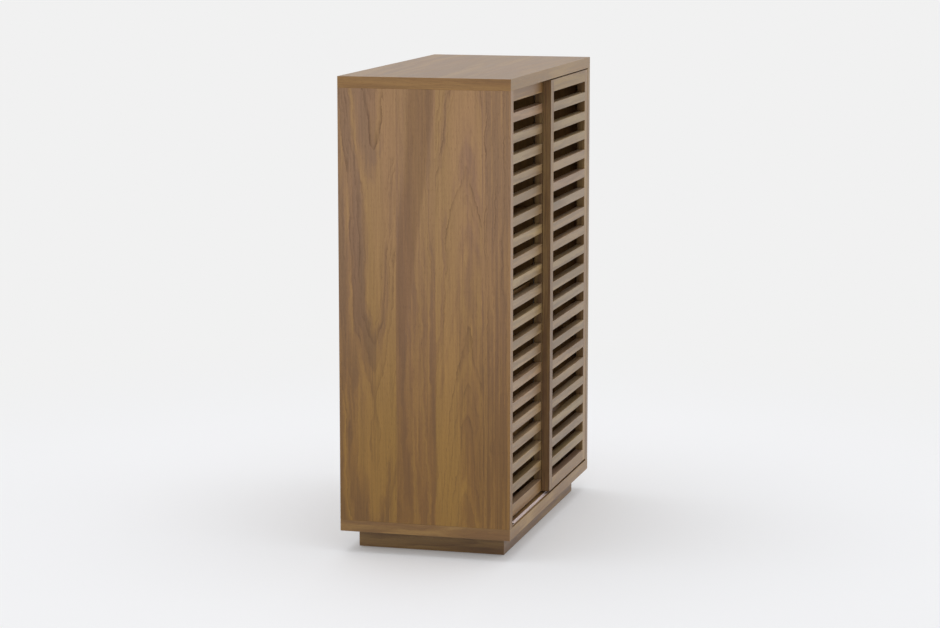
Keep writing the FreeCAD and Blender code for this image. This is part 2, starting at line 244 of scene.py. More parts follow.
# Solid planks, and the shares that scale the colours of boards and planks
PLANK_HEART = (0.03, 0.05, 0.0)
PLANK_TAPER = 0.01
PLANK_CONTRAST = 0.6
# Painted shade inside the cabinet: on the divider, the back panel and the bottom's faces that look up and
# down
INSIDE_PAINTED_SHADE_SHARE = 0.72
SHELF_SHARE = 0.85
# Painted sheen, lighter and bluer, on the front and back edges of the top, the bottom and the right end
TOP_EDGE_PAINTED_SHEEN_SHARE = (1.14, 1.3, 1.55)
BOTTOM_EDGE_PAINTED_SHEEN_SHARE = (1.12, 1.2, 1.3)
RIGHT_END_EDGE_PAINTED_SHEEN_SHARE = (1.1, 1.3, 1.8)
# Painted shade on the side faces of the stiles
LEFT_STILE_SIDES_PAINTED_SHADE_SHARE = (0.74, 0.78, 0.98)
RIGHT_STILE_SIDES_PAINTED_SHADE_SHARE = (0.81, 0.91, 1.15)
# Painted light on the right stiles, with painted sheen on the right door's
RIGHT_STILE_PAINTED_LIGHT_SHARES = (1.12, (1.2, 1.35, 1.8))
# Painted shade on the right door's slats
SLATS_PAINTED_SHADE_SHARES = (1.0, 0.88)
# Painted light and sheen on the rails' upper and lower faces
RAIL_TOPS_PAINTED_LIGHT_SHARE = (1.25, 1.5, 3.0)
# Painted light on each rail, painted shade on the right door's top rail, and painted sheen on the bottom
# rails
RAIL_PAINTED_LIGHT_SHARES = (
    ("left_door_top_rail", (1.1, 1.15, 1.15)),
    ("left_door_bottom_rail", (1.2, 1.3, 1.5)),
    ("right_door_top_rail", (0.93, 1.0, 1.0)),
    ("right_door_bottom_rail", (1.08, 1.15, 1.25)),
)

# Metal and plastic
NYLON_PIECES = ("_roller_housings", "_top_guides", "_left_roller", "_right_roller")
NYLON_TONE = (52, 49, 46)
NICKEL_TONE = (180, 176, 168)
ALUMINIUM_TONE = (234, 221, 219)
AXLE_STEEL_TONE = (170, 170, 172)
SCREW_STEEL_TONE = (176, 176, 178)
# Painted shade in the recesses of the screw heads
RECESS_PAINTED_SHADE_TONE = (40, 38, 36)
RUBBER_TONE = (24, 24, 24)
GLIDE_TONE = (30, 28, 26)
WIDE_NOISE_SPAN = (0.3, 0.7)
DRAWN_NOISE = ((2600.0, 2600.0, 22.0), 2.0, 0.6)
DRAWN_SHADES = (0.9, 1.06)
DRAWN_SMOOTHER = 0.06
DRAWN_ROUGHER = 0.08
DRAWN_BUMP = 0.1
SKIN_NOISE = ((1800.0, 1800.0, 1800.0), 3.0, 0.6)
SKIN_SPAN = (0.2, 0.8, 0.9, 1.1)
SKIN_ROUGHER = 0.07
SKIN_BUMP = 0.15
CLOUD_NOISE = ((36.0, 36.0, 36.0), 2.0, 0.5)
CLOUD_SHADES = (0.92, 1.08)
FINE_BUMP_DEPTH = 0.0001

# A face looks along an axis where its normal's part along that axis is over FACING
AXES = {"x": 0, "y": 1, "z": 2}
FACING = 0.7


def linear(colour):
    """The linear colour of three sRGB steps from 0 to 255, with alpha 1."""
    steps = [c / 255 for c in colour]
    values = [c / 12.92 if c <= 0.04045 else ((c + 0.055) / 1.055) ** 2.4 for c in steps]
    return (*values, 1.0)


def shaded(tones, share=1.0):
    """Linear colours of sRGB tones, scaled by one share or by a share each of red, green and blue."""
    return [(*(np.array(linear(tone)[:3]) * share).tolist(), 1.0) for tone in tones]


def calmer(tones, share):
    """Wood tones whose dull and light are nearer to their body by a share."""
    body = tones[1]
    near = [tuple(c + (b - c) * share for c, b in zip(tone, body)) for tone in tones[:3]]
    return (*near, tones[3])


def fill_ramp(ramp, stops, interpolation):
    """Gives a colour ramp its (place, colour) stops."""
    ramp.interpolation = interpolation
    while len(ramp.elements) < len(stops):
        ramp.elements.new(1.0)
    for element, (place, colour) in zip(ramp.elements, stops):
        element.position = place
        element.color = colour


class Tree:
    """Adds nodes to one node tree. A socket is given another socket to link, or a plain value to hold."""

    def __init__(self, tree):
        self.tree = tree

    def put(self, socket, value):
        """Links a socket to another one, or gives it a plain value, or leaves it alone for None."""
        if isinstance(value, bpy.types.NodeSocket):
            self.tree.links.new(value, socket)
        elif value is not None:
            socket.default_value = value

    def node(self, kind, inputs=None, **settings):
        """A new node with its settings, and with inputs given by name or number."""
        node = self.tree.nodes.new(kind)
        for name, value in settings.items():
            setattr(node, name, value)
        for key, value in (inputs or {}).items():
            self.put(node.inputs[key], value)
        return node

    def sum(self, operation, a, b=None, c=None):
        """A sum of numbers, by the name of its operation."""
        node = self.node("ShaderNodeMath", operation=operation)
        for socket, value in zip(node.inputs, (a, b, c)):
            self.put(socket, value)
        return node.outputs[0]

    def vector(self, operation, a, b=None):
        """A sum of vectors, by the name of its operation."""
        node = self.node("ShaderNodeVectorMath", operation=operation)
        self.put(node.inputs[0], a)
        self.put(node.inputs[1], b)
        return node.outputs["Vector"]

    def split(self, vector):
        """The three parts of a vector."""
        return self.node("ShaderNodeSeparateXYZ", {0: vector}).outputs

    def join(self, x, y, z):
        """A vector of three parts."""
        return self.node("ShaderNodeCombineXYZ", {0: x, 1: y, 2: z}).outputs[0]

    def grey(self, value):
        """A colour of three equal parts."""
        return self.join(value, value, value)

    def blended(self, kind, share, a, b, **settings):
        """A mix of two values of a kind, Color or Float, which names the sockets of the node."""
        node = self.node("ShaderNodeMix", **settings)
        for name, value in (("Factor_Float", share), ("A_" + kind, a), ("B_" + kind, b)):
            self.put(next(s for s in node.inputs if s.identifier == name), value)
        return next(s for s in node.outputs if s.identifier == "Result_" + kind)

    def mix(self, share, a, b, blend="MIX"):
        """The colour a, or b where share is 1, held from 0 to 1."""
        settings = {"data_type": "RGBA", "blend_type": blend, "clamp_result": True}
        return self.blended("Color", share, a, b, **settings)

    def blend(self, share, a, b):
        """The number a, or b where share is 1."""
        return self.blended("Float", share, a, b, data_type="FLOAT")

    def noise(self, place, scale, detail, roughness):
        """A noise from 0 to 1, of so many waves to the metre along each axis of place."""
        inputs = {"Vector": self.vector("MULTIPLY", place, scale), "Scale": 1.0, "Detail": detail,
                  "Roughness": roughness}
        return self.node("ShaderNodeTexNoise", inputs).outputs[0]

    def span(self, value, low, high, to_low=0.0, to_high=1.0, smooth=False):
        """value carried from the range low..high to the range to_low..to_high, held at its ends."""
        inputs = {0: value, 1: low, 2: high, 3: to_low, 4: to_high}
        kind = "SMOOTHSTEP" if smooth else "LINEAR"
        return self.node("ShaderNodeMapRange", inputs, interpolation_type=kind, clamp=True).outputs[0]

    def steps(self, value, stops, interpolation="LINEAR"):
        """A colour ramp through the (place, colour) stops."""
        node = self.node("ShaderNodeValToRGB", {0: value})
        fill_ramp(node.color_ramp, stops, interpolation)
        return node.outputs[0]


def group(name, inputs, outputs):
    """A new shader node group. inputs and outputs give (name, kind, value) and (name, kind)."""
    tree = bpy.data.node_groups.new(name, "ShaderNodeTree")
    kinds = {"value": "NodeSocketFloat", "vector": "NodeSocketVector", "colour": "NodeSocketColor"}
    for label, kind, value in inputs:
        socket = tree.interface.new_socket(label, in_out="INPUT", socket_type=kinds[kind])
        socket.default_value = value
    for label, kind in outputs:
        tree.interface.new_socket(label, in_out="OUTPUT", socket_type=kinds[kind])
    t = Tree(tree)
    return t, t.node("NodeGroupInput").outputs, t.node("NodeGroupOutput").inputs


def figure_group():
    """The figure of cut wood. Place is across, into and along the log, in metres.

    The log's heart runs along at Heart and comes nearer to the cut by Taper for every metre. A ring number
    is the distance to the heart divided by Pitch, where distance = (across^p + down^p)^(1/p). The power p is
    ARCH_POWER, below the 2 of a true circle, so that the arches are pointed. A cut far from the heart shows
    straight lines, and a cut above it shows pointed arches whose tips are Pitch / Taper apart. Wander is how
    far the rings stray from true. Line is the thin late line at the end of each ring, Band is a slow random
    level over the ring number, and Fibre, Pore, Drift and Tint are noises stretched along the log.
    """
    t, given, out = group("wood figure", [
        ("Place", "vector", (0, 0, 0)), ("Heart", "vector", (0, 0, 0)), ("Taper", "value", 0.0),
        ("Pitch", "value", RING_PITCH), ("Wander", "value", RING_WANDER), ("Seed", "value", 0.0),
    ], [(name, "value") for name in FIGURE_NAMES])
    steps = {0: SEED_STEP, "Scale": given["Seed"]}
    seed = t.node("ShaderNodeVectorMath", steps, operation="SCALE").outputs[0]
    place = t.vector("ADD", given["Place"], seed)

    def wander(gain, noise):
        """A noise about 0, with a reach of Wander times gain."""
        return t.sum("MULTIPLY", t.sum("SUBTRACT", t.noise(place, *noise), 0.5),
                     t.sum("MULTIPLY", given["Wander"], gain))

    x, y, z = t.split(given["Place"])
    heart_x, heart_y, heart_z = t.split(given["Heart"])
    sideways = t.sum("ADD", wander(SWAY_GAIN, SWAY_NOISE), wander(SHAKE_GAIN, SHAKE_NOISE))
    across = t.sum("ADD", t.sum("SUBTRACT", x, heart_x), sideways)
    down = t.sum("MULTIPLY_ADD", t.sum("SUBTRACT", z, heart_z), given["Taper"], heart_y)
    down = t.sum("ADD", t.sum("ADD", down, y), wander(SINK_GAIN, SINK_NOISE))
    powers = [t.sum("POWER", t.sum("ABSOLUTE", side), ARCH_POWER) for side in (across, down)]
    distance = t.sum("POWER", t.sum("ADD", *powers), 1 / ARCH_POWER)
    turn = t.sum("DIVIDE", distance, given["Pitch"])

    fraction = t.sum("FRACT", turn)
    rise = t.sum("POWER", t.span(fraction, 0.0, LINE_PEAK), LINE_RISE)
    line = t.sum("MULTIPLY", rise, t.span(fraction, LINE_PEAK, 1.0, 1.0, 0.0))
    broken = t.sum("MULTIPLY", line, t.span(t.noise(place, *LINE_BREAK_NOISE), *LINE_BREAK_SPAN))
    which = t.node("ShaderNodeTexWhiteNoise", {"W": t.sum("FLOOR", turn)}, noise_dimensions="1D").outputs[0]
    t.put(out["Line"], t.sum("MULTIPLY", broken, t.span(which, *LINE_STRENGTH_SPAN)))
    bands = {"W": t.sum("MULTIPLY_ADD", turn, BAND_RATE, given["Seed"]), "Scale": 1.0, "Detail": 1.0,
             "Roughness": 0.5}
    t.put(out["Band"], t.node("ShaderNodeTexNoise", bands, noise_dimensions="1D").outputs[0])
    t.put(out["Tint"], t.noise(place, *TINT_NOISE))
    coarse = t.noise(place, *COARSE_FIBRE_NOISE)
    fine = t.sum("MULTIPLY", t.noise(place, *FINE_FIBRE_NOISE), 1 - COARSE_SHARE)
    t.put(out["Fibre"], t.sum("MULTIPLY_ADD", coarse, COARSE_SHARE, fine))
    t.put(out["Pore"], t.span(t.noise(place, *PORE_NOISE), *PORE_SPAN))
    waved = t.vector("ADD", t.join(t.sum("ADD", across, heart_x), y, z), seed)
    drifts = [t.noise(waved, *noise) for noise in (DRIFT_NOISE, STREAK_NOISE)]
    t.put(out["Drift"], t.blend(STREAK_SHARE, *drifts))
    return t.tree


def colour_group():
    """The colour of lacquered walnut from its figure.

    Band, Drift and Shift carry it from Dull through Body to Light, Tint makes it pinker or more golden, late
    lines and pores pull it to Dark, and fibres make it a little lighter or darker. Worn edges are near Light.
    """
    figure = [(name, "value", 0.0) for name in FIGURE_NAMES]
    colours = [(name, "colour", linear(tone)) for name, tone in zip(TONE_NAMES, WALNUT)]
    t, given, out = group("wood colour", [
        *figure, *colours, ("Contrast", "value", 0.0), ("Shift", "value", 0.0), ("Edge", "value", 0.0),
    ], [("Colour", "colour"), ("Roughness", "value"), ("Height", "value")])
    tone = t.sum("ADD", t.blend(DRIFT_SHARE, given["Band"], given["Drift"]), given["Shift"])
    base = t.mix(t.span(tone, *DULL_SPAN), given["Dull"], given["Body"])
    base = t.mix(t.span(tone, *LIGHT_SPAN), base, given["Light"])
    base = t.mix(1.0, base, t.mix(t.span(given["Tint"], *NOISE_SPAN), PINKISH, GOLDEN), "MULTIPLY")
    late = t.sum("MULTIPLY", given["Line"], given["Contrast"])
    ringed = t.mix(late, base, given["Dark"])
    fibred = t.mix(1.0, ringed, t.grey(t.span(given["Fibre"], *NOISE_SPAN, *FIBRE_SHADES)), "MULTIPLY")
    pores = t.mix(t.sum("MULTIPLY", given["Pore"], PORE_DARKNESS), fibred, given["Dark"])
    t.put(out["Colour"], t.mix(t.sum("MULTIPLY", given["Edge"], EDGE_PALENESS), pores, given["Light"]))
    rough = t.span(given["Fibre"], *NOISE_SPAN, *WOOD_ROUGHNESS)
    t.put(out["Roughness"], t.sum("MULTIPLY_ADD", given["Edge"], EDGE_ROUGHNESS, rough))
    height = t.sum("SUBTRACT", t.sum("MULTIPLY", given["Fibre"], FIBRE_HEIGHT), given["Pore"])
    t.put(out["Height"], t.sum("MULTIPLY_ADD", late, LINE_HEIGHT, height))
    return t.tree


def draws(t, number, seed):
    """Three random values from 0 to 1 that belong to a whole number and a seed."""
    drawn = t.node("ShaderNodeTexWhiteNoise", {"Vector": t.join(number, seed, 0.5)})
    return t.split(drawn.outputs["Color"])


def leaf_group():
    """Leaves of veneer side by side. Across is in metres, Width is a leaf's width.

    Gives each leaf's own heart place, depth and taper, and a tone from 0 to 1.
    """
    t, given, out = group("veneer leaves", [
        ("Across", "value", 0.0), ("Width", "value", 0.1), ("Seed", "value", 0.0),
    ], [("Heart", "value"), ("Taper", "value"), ("Depth", "value"), ("Tone", "value")])
    index = t.sum("FLOOR", t.sum("DIVIDE", given["Across"], given["Width"]))
    first, second, third = draws(t, index, given["Seed"])
    place = t.sum("ADD", index, t.span(first, 0.0, 1.0, *LEAF_HEARTS))
    t.put(out["Heart"], t.sum("MULTIPLY", place, given["Width"]))
    t.put(out["Taper"], t.sum("MULTIPLY", t.sum("SIGN", t.sum("SUBTRACT", second, 0.5)), LEAF_TAPER))
    t.put(out["Depth"], t.span(second, 0.0, 1.0, *LEAF_DEPTHS))
    t.put(out["Tone"], third)
    return t.tree


def edge_group():
    """How near a point of a board's surface is to an edge of the board's box, from Low to High.

    Of a surface point's distances to the three pairs of faces the least is 0, and the middle one is the
    distance to the nearest edge. It is the sum of all three without the least and the most.
    """
    t, given, out = group("worn edges", [
        ("Place", "vector", (0, 0, 0)), ("Low", "vector", (0, 0, 0)), ("High", "vector", (1, 1, 1)),
        ("Width", "value", EDGE_WIDTH),
    ], [("Mask", "value")])
    above = t.vector("SUBTRACT", given["Place"], given["Low"])
    below = t.vector("SUBTRACT", given["High"], given["Place"])
    x, y, z = t.split(t.vector("MINIMUM", above, below))
    whole = t.sum("ADD", x, t.sum("ADD", y, z))
    least = t.sum("MINIMUM", x, t.sum("MINIMUM", y, z))
    most = t.sum("MAXIMUM", x, t.sum("MAXIMUM", y, z))
    middle = t.sum("SUBTRACT", t.sum("SUBTRACT", whole, least), most)
    near = t.span(t.sum("DIVIDE", middle, given["Width"]), 0.0, 1.0, 1.0, 0.0, smooth=True)
    patchy = t.span(t.noise(given["Place"], *EDGE_NOISE), *EDGE_SPAN)
    t.put(out["Mask"], t.sum("MULTIPLY", near, patchy))
    return t.tree


FIGURE = figure_group()
COLOUR = colour_group()
LEAVES = leaf_group()
EDGES = edge_group()


def emptied(owner):
    """The tree of a material or a world, emptied of its nodes, to add to."""
    owner.use_nodes = True
    owner.node_tree.nodes.clear()
    return Tree(owner.node_tree)


def new_material(name):
    """A material with one Principled shader, its tree and the shader."""
    material = bpy.data.materials.new(name)
    t = emptied(material)
    shader = t.node("ShaderNodeBsdfPrincipled")
    t.node("ShaderNodeOutputMaterial", {"Surface": shader.outputs[0]})
    return material, t, shader


def put_bump(t, shader, height, strength, depth):
    """Gives a shader the bumps of a height, with their strength and their depth in metres."""
    lumps = t.node("ShaderNodeBump", {"Strength": strength, "Distance": depth, "Height": height})
    t.put(shader.inputs["Normal"], lumps.outputs[0])


def coordinates(t, kind="Object"):
    """The point of the surface in metres, or with kind "Normal" the way that the surface faces."""
    return t.node("ShaderNodeTexCoord").outputs[kind]


def grain_place(t, order):
    """Object coordinates in the order across, into and along the grain, such as "yxz" for upright grain."""
    parts = t.split(coordinates(t))
    return [parts[AXES[letter]] for letter in order]


def faces_along(t, axis):
    """1 on the faces that look along the named axis, either way, by FACING."""
    facing = t.split(coordinates(t, "Normal"))[AXES[axis]]
    return t.sum("GREATER_THAN", t.sum("ABSOLUTE", facing), FACING)


def by_faces(t, tones, share, painted_face_shares):
    """Linear colours of tones scaled by share, or by the painted light or shade that a face's axis is given.
    """
    colours = shaded(tones, share)
    for axis, own in painted_face_shares.items():
        facing = faces_along(t, axis)
        colours = [t.mix(facing, *pair) for pair in zip(colours, shaded(tones, own))]
    return colours


def board_edges(t, node):
    """The worn edges of the board in the named node."""
    low, high = [tuple(corner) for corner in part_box(node)]
    edges = t.node("ShaderNodeGroup", {"Place": coordinates(t), "Low": low, "High": high}, node_tree=EDGES)
    return edges.outputs["Mask"]


def finish_wood(t, shader, figure, tones, contrast, bump=WOOD_BUMP, shift=None, edge=None):
    """Joins a figure to its colours (dull, body, light, dark) and to the shader of a wooden material."""
    values = {"Contrast": contrast, "Shift": shift, "Edge": edge}
    colour = t.node("ShaderNodeGroup", values, node_tree=COLOUR)
    for name in FIGURE_NAMES:
        t.put(colour.inputs[name], figure.outputs[name])
    for name, value in zip(TONE_NAMES, tones):
        t.put(colour.inputs[name], value)
    t.put(shader.inputs["Base Color"], colour.outputs["Colour"])
    t.put(shader.inputs["Roughness"], colour.outputs["Roughness"])
    shader.inputs["Specular IOR Level"].default_value = WOOD_GLOSS
    shader.inputs["Coat Weight"].default_value = LACQUER
    shader.inputs["Coat Roughness"].default_value = LACQUER_ROUGHNESS
    put_bump(t, shader, colour.outputs["Height"], bump, WOOD_BUMP_DEPTH)


def leaf_code(heart, depth, taper, contrast):
    """A leaf's heart place, depth and taper as parts of their ranges, and its contrast, for a ramp."""
    ranges = (HEART_RANGE, DEPTH_RANGE, TAPER_RANGE)
    parts = [(value - low) / (high - low) for value, (low, high) in zip((heart, depth, taper), ranges)]
    return (*parts, contrast)


def pale_streak(t, across, along, grain):
    """The strength of the left end's pale streak, which leans, sways, narrows and fades on its way down."""
    middle = t.sum("SUBTRACT", along, END_LEAF_MIDDLE)
    middle = t.sum("MULTIPLY_ADD", middle, PALE_STREAK_LEAN, PALE_STREAK_PLACE)
    middle = t.sum("MULTIPLY_ADD", t.noise(grain, *PALE_STREAK_NOISE), PALE_STREAK_SWAY, middle)
    beside = t.sum("ABSOLUTE", t.sum("SUBTRACT", across, middle))
    beside = t.sum("DIVIDE", beside, t.span(along, *PALE_STREAK_HALF_SPAN))
    streak = t.span(beside, *PALE_STREAK_FADE_SPAN, smooth=True)
    past_second = t.sum("GREATER_THAN", across, END_SEAMS[1])
    before_third = t.sum("LESS_THAN", across, END_SEAMS[2])
    inside = t.sum("MULTIPLY", past_second, before_third)
    return t.sum("MULTIPLY", streak, t.sum("MULTIPLY", inside, t.span(along, *PALE_STREAK_STRENGTH_SPAN)))


def left_end_veneer():
    """The left end's four leaves of veneer.

    From the back they are arches that point down, a plain reddish leaf, arches that point up, and a leaf of
    straight grain. A painted sheen makes the end lighter at the top, and it is warmer at the foot.
    """
    material, t, shader = new_material("left end veneer")
    front, back = [corner[1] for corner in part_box("left_end_panel")]

    def stop(y):
        """The place of y on a ramp that runs from the front to the back."""
        return (y - front) / (back - front)

    across, into, along = grain_place(t, "yxz")
    grain = t.join(across, into, along)
    place = t.span(across, front, back)
    starts = [stop(y) for y in (front, *END_SEAMS)]
    codes = t.node("ShaderNodeValToRGB", {0: place})
    fill_ramp(codes.color_ramp, list(zip(starts, [leaf_code(*leaf) for leaf in END_LEAVES])), "CONSTANT")
    code_heart, code_depth, code_taper = t.split(codes.outputs[0])
    depth = t.sum("SUBTRACT", t.span(code_depth, 0, 1, *DEPTH_RANGE), into)
    figure = t.node("ShaderNodeGroup", {
        "Place": grain, "Heart": t.join(t.span(code_heart, 0, 1, *HEART_RANGE), depth, END_LEAF_MIDDLE),
        "Taper": t.span(code_taper, 0, 1, *TAPER_RANGE), "Seed": END_SEED, "Wander": END_WANDER,
    }, node_tree=FIGURE)

    tones = [t.steps(place, list(zip(starts, shaded(column))), "CONSTANT") for column in zip(*END_TONES)]
    # Painted sheen: the end is paler and greyer towards its top
    painted_sheen = t.sum("MULTIPLY", t.span(along, *END_PAINTED_SHEEN_SPAN, smooth=True), END_PAINTED_SHEEN_SHARE)
    tones = [t.mix(painted_sheen, tone, linear(END_PAINTED_SHEEN_TONE)) for tone in tones]
    streak = pale_streak(t, across, along, grain)
    tones = [t.mix(streak, tone, linear(PALE_STREAK_TONE)) for tone in tones]
    calm = t.span(along, *END_CALM_SPAN, END_CALM, 0.0)
    tones = [t.mix(calm, tone, tones[1]) for tone in tones]

    profile = t.steps(place, [(stop(y), (level, level, level, 1.0)) for y, level in END_SHIFTS])
    strength = t.blend(t.sum("LESS_THAN", across, END_SEAMS[0]), OTHER_STRIPES, FRONT_STRIPES)
    stripes = t.sum("SUBTRACT", t.noise(grain, *STRIPE_NOISE), 0.5)
    shift = t.sum("ADD", t.span(profile, 0, 1, *SHIFT_RANGE), t.sum("MULTIPLY", stripes, strength))
    contrast = t.sum("MULTIPLY", codes.outputs[1], t.span(along, *END_CALM_SPAN, END_CALM_LINES, 1.0))
    finish_wood(t, shader, figure, [*tones, linear(END_DARK)], contrast, shift=shift,
                edge=board_edges(t, "left_end_panel"))
    return material


def veneer(node, order, width, seed, tones=WALNUT, share=1.0, contrast=0.7, end_order=None, **painted_face_shares):
    """Puts veneer leaves side by side across the first axis of order, on the flat board of one node.

    With end_order, the faces that the grain would run into are banded instead, in that order of axes. Tones
    are scaled by share, or by the painted light or shade that the face shares give a face along their axis.
    """
    material, t, shader = new_material(node + "_veneer")
    across, into, along = grain_place(t, order)
    if end_order:
        on_end = faces_along(t, order[2])
        banded = grain_place(t, end_order)
        across, into, along = [t.blend(on_end, a, b) for a, b in zip((across, into, along), banded)]
    leaves = t.node("ShaderNodeGroup", {"Across": across, "Width": width, "Seed": seed}, node_tree=LEAVES)
    heart = t.join(leaves.outputs["Heart"], t.sum("SUBTRACT", leaves.outputs["Depth"], into), 0.0)
    tone = leaves.outputs["Tone"]
    figure = t.node("ShaderNodeGroup", {
        "Place": t.join(across, into, along), "Heart": heart, "Taper": leaves.outputs["Taper"],
        "Seed": t.sum("MULTIPLY_ADD", tone, LEAF_SEED_STEP, seed),
    }, node_tree=FIGURE)
    dull, body, light, dark = by_faces(t, tones, share, painted_face_shares)
    own = [dull, t.mix(tone, dull, body), t.mix(tone, body, light), dark]
    finish_wood(t, shader, figure, own, contrast, edge=board_edges(t, node))
    dress([node], material)


def solid_wood(node, order, seed, tones=WALNUT, share=1.0, worn=True, **painted_face_shares):
    """Solid wood cut from one plank, with its heart outside the piece, on one node.

    Tones are scaled as in veneer.
    """
    material, t, shader = new_material(node + "_wood")
    figure = t.node("ShaderNodeGroup", {
        "Place": t.join(*grain_place(t, order)), "Heart": PLANK_HEART, "Taper": PLANK_TAPER, "Seed": seed,
    }, node_tree=FIGURE)
    colours = by_faces(t, tones, share, painted_face_shares)
    finish_wood(t, shader, figure, colours, PLANK_CONTRAST, edge=board_edges(t, node) if worn else None)
    dress([node], material)


def slat_levels(door):
    """The heights of the undersides of a door's slats, from the lowest up."""
    low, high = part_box(door + "_slats")
    return np.linspace(low[2], high[2] - SLAT_HEIGHT, SLAT_COUNT)


def slat_wood(door, seed, share):
    """Slats cut from different planks: every slat has its own heart and its own tone.

    Their upper faces carry painted light and sheen, paler and greyer towards the front, and painted shade
    towards the back.
    """
    material, t, shader = new_material(door + "_slats_wood")
    first_level, second_level = slat_levels(door)[:2].tolist()
    pitch = second_level - first_level
    low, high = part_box(door + "_slats")
    front, back = [corner[1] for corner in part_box(door + "_left_stile")]
    across, into, along = grain_place(t, "zyx")
    level = t.sum("FLOOR", t.sum("DIVIDE", t.sum("SUBTRACT", across, first_level - SLAT_MARGIN), pitch))
    first, second, third = draws(t, level, seed)
    local = t.sum("SUBTRACT", across, t.sum("MULTIPLY", level, pitch))
    heart = t.join(t.span(first, 0, 1, *SLAT_HEARTS), t.span(second, 0, 1, *SLAT_DEPTHS), 0.0)
    figure = t.node("ShaderNodeGroup", {
        "Place": t.join(local, into, along), "Heart": heart, "Taper": SLAT_TAPER,
        "Seed": t.sum("MULTIPLY_ADD", level, SLAT_SEED_STEP, seed),
    }, node_tree=FIGURE)
    columns = [shaded(column, share) for column in zip(*SLAT_TONES)]
    tones = [t.steps(third, list(zip(SLAT_TONE_STOPS, column))) for column in columns]
    # Painted light and sheen on the upper faces towards the front, painted shade towards the back
    painted_light_fade, on_top = t.span(into, front, back, *SLAT_TOP_PAINTED_LIGHT_FADE), faces_along(t, "z")
    painted_light_factor = t.join(*[t.blend(on_top, 1.0, t.sum("MULTIPLY", painted_light_fade, tint)) for tint in SLAT_TOP_PAINTED_SHEEN_TINT])
    tones = [t.vector("MULTIPLY", tone, painted_light_factor) for tone in tones]
    edges = t.node("ShaderNodeGroup", {
        "Place": t.join(along, into, local), "Low": (low[0], front, first_level),
        "High": (high[0], back, first_level + SLAT_HEIGHT),
    }, node_tree=EDGES)
    dark = linear(WALNUT[3])
    finish_wood(t, shader, figure, [*tones, dark], SLAT_CONTRAST, SLAT_BUMP, edge=edges.outputs["Mask"])
    return material


def metal(name, tone, roughness, order, metallic=1.0, shaded_by=None):
    """Anodised or plated metal with fine drawn lines along the last axis of order.

    It is darkened with painted shade where the piece's own attribute that the last argument names is 1.
    """
    material, t, shader = new_material(name)
    lines = t.noise(t.join(*grain_place(t, order)), *DRAWN_NOISE)
    colour = t.mix(1.0, linear(tone), t.grey(t.span(lines, *WIDE_NOISE_SPAN, *DRAWN_SHADES)), "MULTIPLY")
    # Painted shade in the recess of each screw head
    if shaded_by:
        depth = t.node("ShaderNodeAttribute", attribute_name=shaded_by).outputs["Fac"]
        colour = t.mix(depth, colour, linear(RECESS_PAINTED_SHADE_TONE))
    smooth, rough = roughness - DRAWN_SMOOTHER, roughness + DRAWN_ROUGHER
    t.put(shader.inputs["Base Color"], colour)
    t.put(shader.inputs["Roughness"], t.span(lines, *WIDE_NOISE_SPAN, smooth, rough))
    shader.inputs["Metallic"].default_value = metallic
    put_bump(t, shader, lines, DRAWN_BUMP, FINE_BUMP_DEPTH)
    return material


def moulded(name, tone, roughness):
    """Moulded plastic or rubber with a fine matt skin."""
    material, t, shader = new_material(name)
    place = t.join(*grain_place(t, "xyz"))
    skin = t.noise(place, *SKIN_NOISE)
    cloud = t.noise(place, *CLOUD_NOISE)
    shade = t.sum("MULTIPLY", t.span(skin, *SKIN_SPAN), t.span(cloud, *WIDE_NOISE_SPAN, *CLOUD_SHADES))
    smooth, rough = roughness - SKIN_ROUGHER, roughness + SKIN_ROUGHER
    t.put(shader.inputs["Base Color"], t.mix(1.0, linear(tone), t.grey(shade), "MULTIPLY"))
    t.put(shader.inputs["Roughness"], t.span(skin, *WIDE_NOISE_SPAN, smooth, rough))
    put_bump(t, shader, skin, SKIN_BUMP, FINE_BUMP_DEPTH)
    return material


def dress(names, material):
    """Puts one material on the named nodes."""
    for name in names:
        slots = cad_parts[name].data.materials
        slots.clear()
        slots.append(material)


def screw_head():
    """Points, faces and recess of one screw head of radius 1, on the origin and facing up.

    The crown is a grid of radius r and angle a. Its height is C (1 - r^2) less D times the recess, with the
    crown's share as C and the recess's as D. The recess is 1 where the smaller of |x| and |y| is under the
    blade's share and r is inside the blade's reach, and it fades to 0 over one fade share beyond them. One
    more ring below and two hubs close the head.
    """
    shares = np.linspace(0, 1, SCREW_RINGS + 1)[1:]
    angles = np.arange(SCREW_SIDES) * 2 * math.pi / SCREW_SIDES
    radius, angle = np.meshgrid(shares, angles, indexing="ij")
    x, y = radius * np.cos(angle), radius * np.sin(angle)
    in_blade = np.clip(1 - (np.minimum(abs(x), abs(y)) - SCREW_BLADE_SHARE) / SCREW_FADE_SHARE, 0, 1)
    in_reach = np.clip((SCREW_REACH_SHARE - radius) / SCREW_FADE_SHARE, 0, 1)
    recess = in_blade * in_reach
    height = SCREW_CROWN_SHARE * (1 - radius ** 2) - SCREW_RECESS_SHARE * recess
    rim = np.stack([x[-1], y[-1], np.full(SCREW_SIDES, -SCREW_DEPTH_SHARE)], -1)
    hubs = [[0, 0, SCREW_CROWN_SHARE - SCREW_RECESS_SHARE], [0, 0, -SCREW_DEPTH_SHARE]]
    points = np.vstack([np.stack([x, y, height], -1).reshape(-1, 3), rim, hubs])

    quads = grid_faces(SCREW_RINGS + 1, SCREW_SIDES)
    start = np.arange(SCREW_SIDES)
    end = (start + 1) % SCREW_SIDES
    last = SCREW_RINGS * SCREW_SIDES
    hub = np.full(SCREW_SIDES, last + SCREW_SIDES)
    fans = [np.stack([hub, start, end], -1), np.stack([hub + 1, last + end, last + start], -1)]
    return points, quads, np.vstack(fans), np.concatenate([recess.ravel(), np.zeros(SCREW_SIDES), [1, 0]])


